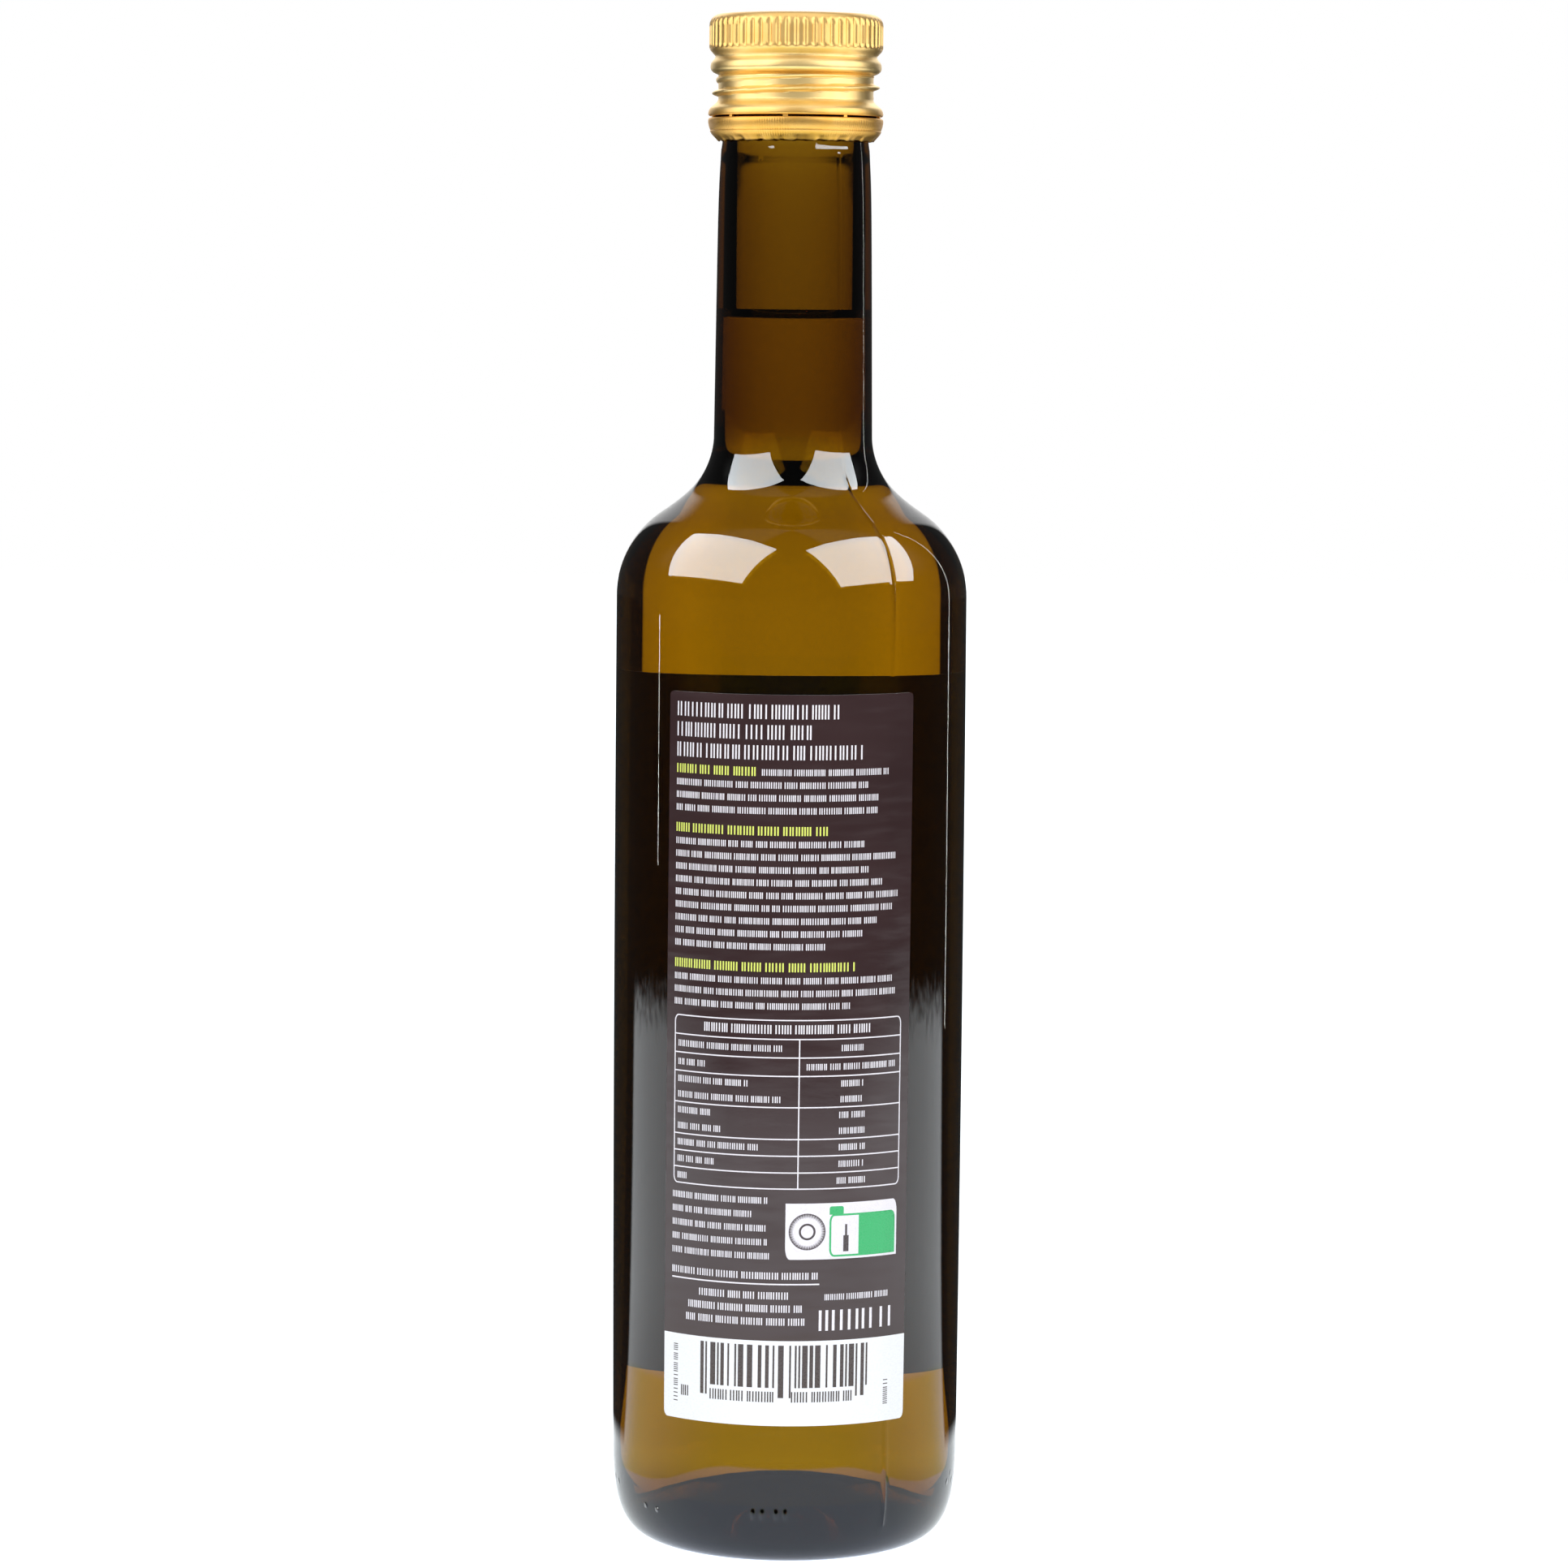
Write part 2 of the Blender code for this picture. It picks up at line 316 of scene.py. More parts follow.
def bodyRun(inset, steps, bottom):
    rise = bottleShape["shoulderStart"] - bottom
    heights = [bottom + rise * step / steps for step in range(1, steps)]
    return [(bodyRadius(height) - inset, height) for height in heights]


def heelRun(steps):
    b = bottleShape
    reach = b["heelRadius"] - b["ringRadius"]
    power = 2 / b["heelRoundness"]
    points = []
    for step in range(steps + 1):
        angle = math.pi / 2 * (1 - step / steps)
        radius = b["ringRadius"] + reach * math.cos(angle) ** power
        points.append((radius, b["heelHeight"] * (1 - math.sin(angle) ** power)))
    return points


def shoulderRun(inset, neckRadius, lean, steps):
    # an outward bend, a nearly straight flank, and an inward bend that turns into the neck
    b = bottleShape
    slope, flank = b["shoulderSlope"], b["flankSlope"]
    points = arc(b["shoulderRadius"] - b["shoulderBend"], b["shoulderStart"], b["shoulderBend"] - inset,
                 0, slope, steps)
    radius, height = points[-1]
    bend = b["flankBend"] + inset
    points += arc(radius + bend * math.cos(math.radians(slope)), height + bend * math.sin(math.radians(slope)),
                  bend, 180 + slope, 180 + flank, 4)[1:]
    radius, height = points[-1]
    bend = (radius - neckRadius) / (1 - math.cos(math.radians(flank)))
    points += arc(radius + bend * math.cos(math.radians(flank)), height + bend * math.sin(math.radians(flank)),
                  bend, 180 + flank, 180 + lean, steps)[1:]
    return points


def outerWall():
    b = bottleShape
    ringInner = b["ringRadius"] - b["ringWidth"]
    shares = [step / 6 for step in range(7)]
    points = [(ringInner * share, b["puntHeight"] * (1 - share ** 2)) for share in shares]
    points += heelRun(18)
    points += bodyRun(0, 12, b["heelHeight"])
    points += shoulderRun(0, b["neckFootRadius"], b["neckLean"], 18)
    neckStart = points.pop()
    neck = [neckStart, (b["neckRadius"], b["neckHeight"]), (b["neckTopRadius"], b["neckTopHeight"])]
    points += smoothRun(neck, 5)
    # the two moulds meet under the cap, where the neck draws in
    parting = b["partingHeight"]
    for rise in (-1.0, -0.5, -0.05, 0.05, 0.4, 0.8, 1.2, 1.6, 1.85):
        share = easeStep(b["neckTopHeight"], b["collarHeight"] + 1.2, parting + rise)
        radius = b["neckTopRadius"] - (b["neckTopRadius"] - b["collarRadius"]) * share
        ridge = b["partingRise"] if abs(rise) < 0.1 else 0
        points.append((radius + ridge, parting + rise))
    points += [(b["collarRadius"], b["lockRingBottom"] - 1.9)]
    points += [(b["lockRingRadius"], b["lockRingBottom"]), (b["lockRingRadius"], b["lockRingTop"])]
    points += [(b["finishRadius"], b["finishBottom"]), (b["finishRadius"], b["finishTop"])]
    points += [(b["lipRadius"], b["lipBottom"])]
    points += arc(b["lipRadius"] - b["lipRound"], b["mouthHeight"] - b["lipRound"], b["lipRound"], 0, 90, 5)
    return points


def innerWall(reach):
    # the inside face of the wall, moved into the glass by a reach, up to the foot of the neck
    b = bottleShape
    inset = b["wall"] - reach
    cornerRadius = b["floorCorner"] + reach
    cornerCentre = b["heelRadius"] - b["wall"] - b["floorCorner"]
    floorEdge = b["floorHeight"] - reach
    middle = b["puntHeight"] + b["puntGlass"] - reach
    shares = [step / 6 for step in range(6)]
    points = [(cornerCentre * share, middle - (middle - floorEdge) * share ** 2) for share in shares]
    cornerHeight = b["floorHeight"] + b["floorCorner"]
    points += arc(cornerCentre, cornerHeight, cornerRadius, -90, 0, 12)
    points[-1] = (bodyRadius(cornerHeight) - inset, cornerHeight)
    points += bodyRun(inset, 12, cornerHeight)
    points += shoulderRun(inset, b["neckBoreRadius"] + reach, 0, 16)
    return points


def makeGlass(material):
    b = bottleShape
    bore = [
        (b["neckBoreRadius"], 215.0), (b["neckBoreRadius"], 235.0),
        (b["neckBoreRadius"], b["boreTaperBottom"]), (b["mouthBoreRadius"], b["boreTaperTop"]),
        (b["mouthBoreRadius"], b["mouthHeight"] - b["lipRound"]),
        (b["mouthBoreRadius"] + b["lipRound"], b["mouthHeight"]),
    ]
    outline = outerWall() + (innerWall(0) + bore)[::-1]
    piece = turned(outline, b["spinSteps"], b["seamAzimuth"])
    raiseSeams(piece)
    handOver(piece, "bottleGlass", "glass_bottle", [material], 40)
    return piece


def raiseSeams(piece):
    # the two halves of the mould leave a fine line up the heel, body, shoulder and neck
    b = bottleShape

    def onSeam(places):
        for place in places:
            radius, azimuth, height = around(place)
            away = abs((azimuth - b["seamAzimuth"] + 90) % 180 - 90)
            if away > 0.2 or not b["heelHeight"] / 3 < height < b["partingHeight"] - 0.5:
                return False
            if radius < min(bodyRadius(height), b["neckTopRadius"]) - 1.5 and height > b["floorHeight"]:
                return False
        outer = [around(place)[0] > outerRadius(place.z / mm) - 0.6 for place in places]
        return all(outer) and abs(places[0].z - places[1].z) > 0.01 * mm

    editOnly(piece)
    pick(piece, "EDGE", onSeam)
    bpy.ops.mesh.bevel(offset=b["seamWidth"] * mm, segments=2, profile=0.5, affect="EDGES")
    bpy.ops.object.mode_set(mode="OBJECT")

    def raised(place):
        radius, azimuth, height = around(place)
        away = abs((azimuth - b["seamAzimuth"] + 90) % 180 - 90)
        onRidge = away < 0.1 and b["heelHeight"] / 3 < height < b["partingHeight"] - 0.5
        if onRidge and radius > outerRadius(height) - 0.6:
            # lower under the labels and up the neck, and nearly gone on the far side
            free = max(easeStep(160, 172, height), 1 - easeStep(12, 26, height))
            free = free * (1 - 0.7 * easeStep(188, 200, height))
            front = 1.0 if azimuth > 0 else 0.3
            return place + onCircle(b["seamRise"] * front * (0.15 + 0.85 * free), azimuth, 0)
        return place

    move(piece, raised)


def outerRadius(height):
    # the outside radius at a height, read along the outline
    points = outerWall()
    for (startRadius, start), (stopRadius, stop) in zip(points[6:], points[7:]):
        if start <= height <= stop and stop > start:
            return startRadius + (stopRadius - startRadius) * (height - start) / (stop - start)
    return bottleShape["neckTopRadius"]


def makeOil(material):
    # the oil climbs the glass at its edge and sits a hair into the wall, so no air shows between
    o = oilShape
    boreRadius = bottleShape["neckBoreRadius"]
    rise = o["edgeHeight"] - o["level"]
    outline = innerWall(o["reachIntoGlass"])
    outline += [(boreRadius + o["reachIntoGlass"], o["edgeHeight"]), (boreRadius, o["edgeHeight"])]
    for share in (0.02, 0.05, 0.09, 0.14, 0.2, 0.28, 0.38, 0.5):
        away = share * boreRadius
        outline.append((boreRadius - away, o["level"] + rise * math.exp(-away / o["meniscusReach"])))
    outline.append((0, o["level"]))
    piece = turned(outline, bottleShape["spinSteps"], 0)
    handOver(piece, "oliveOil", "olive_oil", [material], 50)
    return piece


glassFinish = {
    "absorbs": (337.0, 469.0, 1100.0), "roughness": 0.0, "waviness": 0.008, "markRise": 0.34,
    # azimuth and height of the mould's dimples, and of the short strokes in the place of its mark
    "dimples": ((-80, 11.0), (-75, 10.6), (-53.5, 8.6), (-47.5, 8.4), (71, 11.4), (75, 12.6), (78, 11.0)),
    "strokes": ((-10.2, 9.9), (-7.2, 9.9), (-2.6, 9.9), (0.4, 9.9)),
}
oilFinish = {"absorbs": (0.6, 5.2, 90.0), "roughness": 0.0}


def glassMaterial():
    material, board = newMaterial("brownGreenGlass")
    place = board.place()
    marked = 0
    for azimuth, height in glassFinish["dimples"] + glassFinish["strokes"]:
        spot = onCircle(outerRadius(height), azimuth, height)
        away = board.node("VectorMath", {"operation": "SUBTRACT"}, {0: place, 1: tuple(spot)})
        stroke = (azimuth, height) in glassFinish["strokes"]
        away = board.stretched(away, (1, 1, 0.45) if stroke else (1, 1, 1))
        length = board.node("VectorMath", {"operation": "LENGTH"}, {0: away}, "Value")
        marked = marked + (1 - length.ramp(0.10 * mm, 0.65 * mm))
    wide = board.noise(board.stretched(place, (1, 1, 0.45)), 110, 2)
    waves = board.bump(wide * glassFinish["waviness"] + marked * glassFinish["markRise"], 1.0, mm)
    shader = board.node("BsdfPrincipled", values={
        "Base Color": (1.0, 1.0, 1.0), "Roughness": glassFinish["roughness"], "IOR": 1.52,
        "Transmission Weight": 1.0, "Normal": waves})
    board.finish(shader, absorbing(board, glassFinish["absorbs"]))
    return material


def oilMaterial():
    material, board = newMaterial("oliveOilLiquid")
    shader = board.node("BsdfPrincipled", values={
        "Base Color": (1.0, 1.0, 1.0), "Roughness": oilFinish["roughness"], "IOR": 1.47,
        "Transmission Weight": 1.0, "Specular Tint": (0.15, 0.15, 0.15)})
    board.finish(shader, absorbing(board, oilFinish["absorbs"]))
    return material


makeGlass(glassMaterial())
makeOil(oilMaterial())


# Screw cap

capShape = {
    "spinSteps": 420, "topHeight": 276.9, "cornerRadius": 2.0, "skirtRadius": 15.62, "skirtBottom": 270.9,
    "fluteCount": 60, "fluteDepth": 0.30, "fluteBottom": 270.65, "fluteTop": 276.25, "fluteWidth": 0.54,
    "threadRoot": 13.95, "threadBottom": 261.7, "threadTop": 266.0, "threadRise": 1.15,
    "threadPitch": 2.4, "threadStart": 264.0,
    "slitHeight": 258.59, "slitGap": 0.34, "bandInner": 15.05,
    "bridgeCount": 9, "firstBridge": -48.6, "bridgePitch": 41.8, "bridgeWidth": 2.8,
    "rollWave": 0.16,
}


def capOutline():
    c = capShape
    slitBottom = c["slitHeight"] - c["slitGap"] / 2
    slitTop = c["slitHeight"] + c["slitGap"] / 2
    curl = smoothRun([(13.75, 254.65), (13.95, 254.30), (14.45, 254.80), (15.10, 255.50), (15.40, 256.00)], 3)
    crease = smoothRun([(15.41, 256.12), (15.34, 256.24), (15.46, 256.45), (15.66, 257.1), (15.76, 257.8),
                        (15.70, 258.22), (15.50, slitBottom)], 3)
    aboveSlit = smoothRun([(15.50, slitTop), (15.70, 258.95), (15.74, 259.3), (15.52, 260.0),
                           (15.00, 260.55), (14.30, 261.15), (c["threadRoot"], c["threadBottom"])], 3)
    rows = 28
    rise = (c["threadTop"] - c["threadBottom"]) / rows
    thread = [(c["threadRoot"], c["threadBottom"] + rise * row) for row in range(1, rows + 1)]
    bead = smoothRun([(14.10, 266.18), (14.90, 266.55), (15.34, 267.1), (15.36, 267.8), (15.20, 268.3),
                      (14.70, 268.95), (14.52, 269.35), (14.80, 269.75), (15.38, 270.4),
                      (c["skirtRadius"], c["skirtBottom"])], 3)
    cornerHeight = c["topHeight"] - c["cornerRadius"]
    skirtRows = 12
    skirtRise = (cornerHeight - c["skirtBottom"]) / skirtRows
    skirt = [(c["skirtRadius"], c["skirtBottom"] + skirtRise * row) for row in range(1, skirtRows)]
    corner = arc(c["skirtRadius"] - c["cornerRadius"], cornerHeight, c["cornerRadius"], 0, 90, 9)
    outside = curl + crease + aboveSlit + thread + bead + skirt + corner + [(9, c["topHeight"] - 0.02)]
    inside = [
        (0, 276.45), (9, 276.45), (13.4, 276.45), (14.9, 275.9), (15.17, 274.9), (15.17, 270.9),
        (14.15, 269.5), (13.55, 266.2), (13.55, 261.6), (c["bandInner"], 259.9),
        (c["bandInner"], slitTop), (c["bandInner"], slitBottom), (c["bandInner"], 256.9), (13.85, 254.9),
    ]
    return inside + outside + [(0, c["topHeight"] - 0.03)]


def pressCap(place):
    # flutes round the skirt, the rolled thread, and the wavy edge that is rolled under the ring
    c = capShape
    radius, azimuth, height = around(place)
    if height > 270.0 and radius > 10:
        across = abs((azimuth * c["fluteCount"] / 360) % 1 - 0.5) * 2
        across = 1 - across
        taper = easeStep(c["fluteTop"], c["fluteTop"] - 1.5, height) if height > 274 else 1
        foot = easeStep(c["fluteBottom"], c["fluteBottom"] + 0.55, height)
        halfWidth = c["fluteWidth"] * max(0.05, taper ** 0.6)
        bowl = max(0.0, 1 - (across / halfWidth) ** 2) ** 0.8
        depth = c["fluteDepth"] * bowl * foot * min(1, taper * 1.6)
        if radius > 13.4 and height < c["topHeight"] - 0.1 and outsideOfCap(radius, height):
            return onCircle(radius - depth, azimuth, height)
    if c["threadBottom"] + 0.05 < height < c["threadTop"] - 0.05 and radius > c["threadRoot"] - 0.05:
        turn = (height - c["threadStart"]) / c["threadPitch"] - (azimuth - 90) / 360
        ridge = max(0.0, math.cos(math.tau * turn)) ** 0.8
        along = easeStep(261.9, 262.6, height) * (1 - 0.62 * easeStep(264.2, 265.0, height))
        return onCircle(radius + c["threadRise"] * ridge * along, azimuth, height)
    if height < 255.3:
        angle = math.radians(azimuth)
        wave = math.sin(23 * angle) * 0.5 + math.sin(41 * angle + 1.3) * 0.3 + math.sin(67 * angle + 0.4) * 0.2
        share = 1 - easeStep(254.5, 255.3, height)
        return place + Vector((0, 0, (c["rollWave"] * wave * share + 0.05 * share) * mm))
    return place


def outsideOfCap(radius, height):
    return radius > (15.4 if height < 274.9 else 15.2 - 1.0 * (height - 274.9))


def cutSlit(piece):
    # the ring tears off along a slit that nine small bridges interrupt
    c = capShape
    bridges = sorted((c["firstBridge"] + c["bridgePitch"] * number) % 360 for number in range(c["bridgeCount"]))
    runs = zip(bridges, bridges[1:] + [bridges[0] + 360])
    editOnly(piece)
    for start, stop in runs:
        def inRun(places, start=start, stop=stop):
            middle = sum(places, Vector((0, 0, 0))) / len(places)
            radius, azimuth, height = around(middle)
            sweep = (azimuth - start) % 360
            inside = c["bridgeWidth"] / 2 < sweep < stop - start - c["bridgeWidth"] / 2
            return inside and abs(height - c["slitHeight"]) < c["slitGap"] / 4
        pick(piece, "FACE", inRun)
        bpy.ops.mesh.bridge_edge_loops()
    bpy.ops.object.mode_set(mode="OBJECT")


def makeCap(material):
    piece = turned(capOutline(), capShape["spinSteps"], 0)
    cutSlit(piece)
    move(piece, pressCap)
    handOver(piece, "screwCap", "screw_cap", [material], 45)
    return piece


# the second gold is the same gold painted deeper, as painted shade
capFinish = {"gold": linear(244, 213, 146), "shadedGold": linear(228, 174, 84), "roughness": 0.31}


def capMaterial():
    material, board = newMaterial("goldAnodisedAluminium")
    place = board.place()
    x, y, z = board.axes(place)
    angle = board.node("Math", {"operation": "ARCTAN2"}, {0: y, 1: x})
    grain = board.noise(place, 5200, 2)
    brushed = board.noise(board.stretched(place, (1, 1, 0.05)), 2600, 2)
    patches = board.noise(place, 260, 3)
    band = z.ramp(0.2548, 0.2552) * (1 - z.ramp(0.2578, 0.2583))
    ribs = (angle * 210).math("SINE") * band * board.noise(place, 160, 1).ramp(0.35, 0.6)
    height = grain * 0.10 + brushed * 0.05 + ribs * 0.7
    # the band below the slit and the fluted skirt and top are painted a deeper gold as painted shade; the
    # patches are random tone of the metal
    low = 1 - z.ramp(0.2588, 0.2606)
    flutedShade = z.ramp(0.2690, 0.2706)
    share = patches.ramp(0.35, 0.75) * 0.2 + low * 0.85 + flutedShade * 0.45
    colour = board.blend(share, capFinish["gold"], capFinish["shadedGold"])
    shader = board.node("BsdfPrincipled", values={
        "Base Color": colour, "Metallic": 1.0,
        "Roughness": capFinish["roughness"] + grain * 0.08 + patches * 0.05,
        "Normal": board.bump(height, 0.5, 0.05 * mm)})
    board.finish(shader)
    return material


makeCap(capMaterial())


# Labels: sheets and print are laid out flat, x round the bottle and y up it, and then wrapped on

labelShape = {
    "bottom": 26.3, "top": 157.0, "thickness": 0.12, "sink": 0.02,
    "backHalfWidth": 23.6, "backAzimuth": -0.1, "backLean": 0.27, "backFold": 41.7,
    "frontHalfTurn": 70.0, "frontAzimuth": 180.0,
    "topCorner": 0.8, "bottomCorner": 1.3, "inkThickness": 0.014, "inkSink": 0.004,
}


def cutSheet(left, right, bottom, top, corners, columnWidth=0.9, rowHeight=6.0):
    # a flat sheet with rounded corners, given as left bottom, right bottom, right top, left top
    columns = max(1, round((right - left) / columnWidth))
    rows = max(1, round((top - bottom) / rowHeight))
    clearSelection()
    bpy.ops.mesh.primitive_grid_add(x_subdivisions=columns, y_subdivisions=rows, size=1)
    piece = bpy.context.object
    bpy.ops.object.mode_set(mode="EDIT")
    bpy.ops.transform.resize(value=((right - left) * mm, (top - bottom) * mm, 1))
    bpy.ops.transform.translate(value=((left + right) / 2 * mm, (bottom + top) / 2 * mm, 0))
    places = ((left, bottom), (right, bottom), (right, top), (left, top))
    for (x, y), radius in zip(places, corners):
        if radius == 0:
            continue
        spot = Vector((x, y, 0)) * mm
        pick(piece, "VERT", lambda found, spot=spot: (found[0] - spot).length < 0.01 * mm)
        bpy.ops.mesh.bevel(offset=radius * mm, segments=5, affect="VERTICES")
    bpy.ops.object.mode_set(mode="OBJECT")
    return piece


def cutFrame(left, right, bottom, top, radius, width):
    # a line of one width round a rounded box
    piece = cutSheet(left, right, bottom, top, (radius,) * 4)
    editOnly(piece)
    bpy.ops.mesh.select_mode(type="FACE")
    bpy.ops.mesh.select_all(action="SELECT")
    bpy.ops.mesh.inset(thickness=width * mm, depth=0)
    bpy.ops.mesh.delete(type="FACE")
    bpy.ops.object.mode_set(mode="OBJECT")
    return piece


def cutDisc(x, y, radius):
    clearSelection()
    bpy.ops.mesh.primitive_circle_add(vertices=40, radius=radius * mm, fill_type="TRIFAN",
                                      location=(x * mm, y * mm, 0))
    piece = bpy.context.object
    bpy.ops.object.transform_apply(location=True)
    bpy.ops.object.mode_set(mode="EDIT")
    bpy.ops.mesh.subdivide(number_cuts=3)
    bpy.ops.object.mode_set(mode="OBJECT")
    return piece


def cutRing(x, y, radius, width):
    clearSelection()
    bpy.ops.mesh.primitive_circle_add(vertices=96, radius=radius * mm, fill_type="NOTHING",
                                      location=(x * mm, y * mm, 0))
    piece = bpy.context.object
    bpy.ops.object.transform_apply(location=True)
    bpy.ops.object.mode_set(mode="EDIT")
    bpy.ops.mesh.select_all(action="SELECT")
    bpy.ops.mesh.extrude_edges_move()
    share = (radius - width) / radius
    bpy.ops.transform.resize(value=(share, share, 1))
    bpy.ops.object.mode_set(mode="OBJECT")
    # every flat piece has to face up before it gets its thickness
    if piece.data.polygons[0].normal.z < 0:
        bpy.ops.object.mode_set(mode="EDIT")
        bpy.ops.mesh.select_all(action="SELECT")
        bpy.ops.mesh.flip_normals()
        bpy.ops.object.mode_set(mode="OBJECT")
    return piece


def marks(boxes):
    # many small flat marks in one mesh, each given as left, bottom, right, top
    corners = []
    faces = []
    for left, bottom, right, top in boxes:
        columns = max(1, math.ceil((right - left) / 1.2))
        first = len(corners)
        for column in range(columns + 1):
            x = left + (right - left) * column / columns
            corners += [(x * mm, bottom * mm, 0), (x * mm, top * mm, 0)]
        for column in range(columns):
            start = first + 2 * column
            faces.append((start, start + 2, start + 3, start + 1))
    mesh = bpy.data.meshes.new("marks")
    mesh.from_pydata(corners, [], faces)
    piece = bpy.data.objects.new("marks", mesh)
    bpy.context.collection.objects.link(piece)
    return piece


def joined(pieces):
    clearSelection()
    for piece in pieces:
        piece.select_set(True)
    bpy.context.view_layer.objects.active = pieces[0]
    if len(pieces) > 1:
        bpy.ops.object.join()
    return pieces[0]


def wrapped(piece, lift, thickness, azimuth, lean):
    # bends a flat piece round the body at a lift off the glass and gives it its thickness
    def onGlass(place):
        x, y = place.x / mm, place.y / mm
        x -= math.tan(math.radians(-lean)) * (y - 90)
        radius = bodyRadius(y) + lift
        return onCircle(radius, azimuth + math.degrees(x / bottleShape["bellyRadius"]), y)

    move(piece, onGlass)
    clearSelection()
    piece.select_set(True)
    bpy.context.view_layer.objects.active = piece
    wall = piece.modifiers.new("thickness", "SOLIDIFY")
    wall.thickness = thickness * mm
    wall.offset = 1.0
    bpy.ops.object.modifier_apply(modifier=wall.name)
    return piece


def dashRow(x, y, width, size, stroke, pen, gaps=(1.75, 2.0, 2.35)):
    # a row of plain upright dashes in groups, which stands for a line of print and spells nothing
    boxes = []
    stop = x + width
    while x < stop - stroke:
        for dash in range(pen.randint(4, 15)):
            if x + stroke > stop:
                break
            boxes.append((x, y, x + stroke, y + size))
            x += stroke * pen.choice(gaps)
        x += stroke * 1.9
    return boxes


backPrint = {
    "margin": -21.8, "smallSize": 1.15, "smallStroke": 0.19, "headSize": 1.6, "headStroke": 0.27,
    "titles": ((152.7, 30.3), (149.1, 25.6), (145.5, 34.8)), "titleSize": 2.55, "titleStroke": 0.28,
    "paragraphs": (
        (142.7, (40.2, 36.0, 38.0, 38.0), 15.8),
        (132.2, (28.9, 35.3, 42.0, 36.1, 39.1, 42.4, 41.3, 38.1, 35.1, 28.6), 28.9),
        (108.0, (34.0, 41.4, 42.1, 32.9), 34.0),
    ),
    "lineStep": 2.27, "lineWidth": 0.22,
    "tableTop": 99.4, "tableBottom": 69.0, "tableHalf": 21.7, "tableDivider": 2.1,
    "tableLines": (95.9, 92.6, 89.3, 83.7, 78.0, 75.0, 72.0),
    "tableWords": (((20.0, 4.4),), ((5.8, 17.0),), ((14.0, 4.4), (20.0, 4.6)), ((7.0, 5.0), (9.0, 5.0)),
                   ((15.7, 5.0),), ((7.8, 5.0),), ((2.4, 5.6),)),
    "addressTop": 66.4, "addressStep": 2.5, "addressWidths": (18.6, 15.8, 18.4, 18.6, 19.2),
    "panelLeft": 0.0, "panelRight": 21.3, "panelBottom": 56.4, "panelTop": 66.5,
    "ringX": 3.9, "ringY": 61.4, "ringRadius": 3.3, "ringWidth": 0.45, "boxLeft": 7.9, "greenLeft": 13.4,
    "barsLeft": -15.5, "barsRight": 15.5, "barsTop": 40.9, "barsBottom": 33.2, "guardBottom": 31.4,
    "barUnit": 0.33,
}


def tableText(pen):
    p = backPrint
    lines = p["tableLines"] + (p["tableBottom"],)
    size = p["smallSize"]
    middle = (p["tableDivider"] + p["tableHalf"]) / 2
    boxes = dashRow(-15.4, (p["tableTop"] + lines[0] - p["headSize"]) / 2, 30.8, p["headSize"], 0.24, pen)
    for top, bottom, words in zip(lines, lines[1:], p["tableWords"]):
        for number, (leftWidth, rightWidth) in enumerate(words):
            y = top - (top - bottom) * (number + 0.5) / len(words) - size / 2
            boxes += dashRow(-p["tableHalf"] + 0.9, y, leftWidth, size, p["smallStroke"], pen)
            boxes += dashRow(middle - rightWidth / 2, y, rightWidth, size, p["smallStroke"], pen)
    return boxes


def whitePrint(pen):
    p = backPrint
    size, stroke = p["smallSize"], p["smallStroke"]
    boxes = []
    for y, width in p["titles"]:
        boxes += dashRow(p["margin"], y, width, p["titleSize"], p["titleStroke"], pen, (2.0, 2.4, 3.2))
    for number, (top, widths, headWidth) in enumerate(p["paragraphs"]):
        for line, width in enumerate(widths):
            start = p["margin"] + (headWidth + 0.8 if line == 0 else 0)
            boxes += dashRow(start, top - line * p["lineStep"], p["margin"] + width - start, size, stroke, pen)
    boxes += tableText(pen)
    for line, width in enumerate(p["addressWidths"]):
        boxes += dashRow(p["margin"], p["addressTop"] - line * p["addressStep"], width, size, stroke, pen)
    boxes += dashRow(p["margin"], 52.8, 28.0, 1.25, 0.22, pen)
    boxes.append((p["margin"], 51.8, p["margin"] + 28.0, 52.05))
    for line, width in enumerate((17.0, 21.5, 22.4)):
        boxes += dashRow(-7.4 - width / 2, 49.2 - 2.35 * line, width, 1.3, 0.22, pen)
    boxes += dashRow(7.2, 49.0, 12.6, 1.1, 0.18, pen)
    boxes += dashRow(6.2, 43.5, 14.6, 3.7, 0.5, pen, (2.4, 3.0, 3.6))
    line = p["lineWidth"]
    for y in p["tableLines"]:
        boxes.append((-p["tableHalf"], y - line / 2, p["tableHalf"], y + line / 2))
    divider = p["tableDivider"]
    boxes.append((divider - line / 2, p["tableBottom"], divider + line / 2, p["tableLines"][0]))
    pieces = [marks(boxes)]
    pieces.append(cutFrame(-p["tableHalf"], p["tableHalf"], p["tableBottom"], p["tableTop"], 1.3, line))
    pieces.append(cutSheet(p["panelLeft"], p["panelRight"], p["panelBottom"], p["panelTop"], (2.2, 0, 2.2, 0)))
    return joined(pieces)


def yellowPrint(pen):
    p = backPrint
    boxes = []
    for top, widths, headWidth in p["paragraphs"]:
        boxes += dashRow(p["margin"], top - 0.1, headWidth, p["headSize"], p["headStroke"], pen)
    return marks(boxes)


def greenPrint():
    # a framed box on the white panel, filled on its right
    p = backPrint
    left, right, bottom, top = p["boxLeft"], p["panelRight"] - 0.4, p["panelBottom"] + 0.4, p["panelTop"] - 2.0
    frameLine = cutFrame(left, right, bottom, top, 1.4, 0.35)
    tab = cutSheet(left, left + 2.6, top - 0.1, top + 1.4, (0, 0, 0.4, 0.4))
    return joined([frameLine, tab, cutSheet(p["greenLeft"], right, bottom, top, (0, 0, 1.4, 0))])


